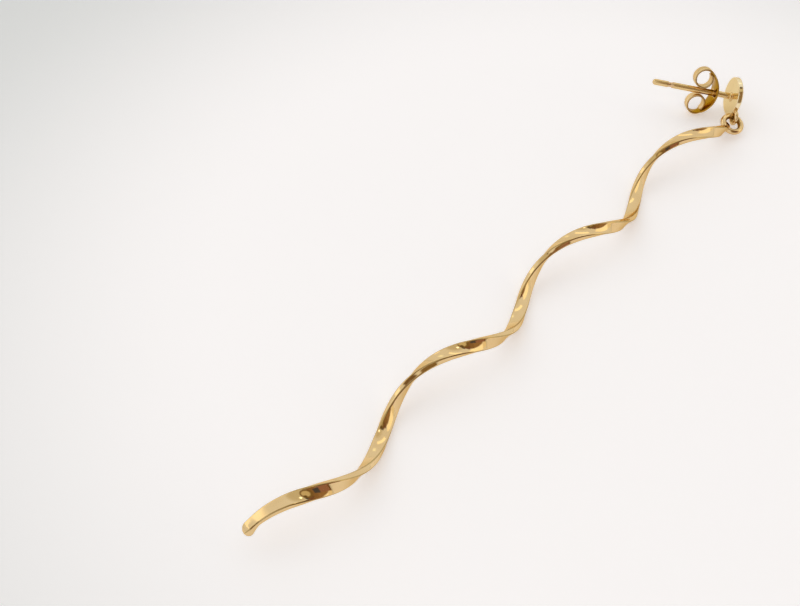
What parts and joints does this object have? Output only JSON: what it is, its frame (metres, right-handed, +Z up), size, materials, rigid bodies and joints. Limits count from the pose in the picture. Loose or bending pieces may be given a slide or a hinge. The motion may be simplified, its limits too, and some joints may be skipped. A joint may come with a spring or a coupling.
{
  "type": "spiral drop earring",
  "caption": "Post earring lying on a surface: a long twisted-strip spiral drop hangs by two linked rings from a round disc stud that carries a butterfly clutch.",
  "frame": {"origin": "middle of the bounding box at its bottom, on the surface that the earring lies on", "axes": "+X along the drop's axis from its ball end to the stud, +Y across towards the post's tip, +Z up from the surface"},
  "size_m": [0.0766, 0.0112, 0.0054],
  "materials": {
    "gold": "polished pale yellow gold"
  },
  "bodies": {
    "earring": {"spiral_drop": "gold", "ear_stud": "gold"},
    "clutch": {"butterfly_clutch": "gold"}
  },
  "joints": [
    {"name": "clutch_slide", "type": "slide", "parent": "earring", "child": "clutch", "axis": [-0.5757, 0.8072, 0.1305], "range_m": [-0.0016, 0.0035]}
  ]
}
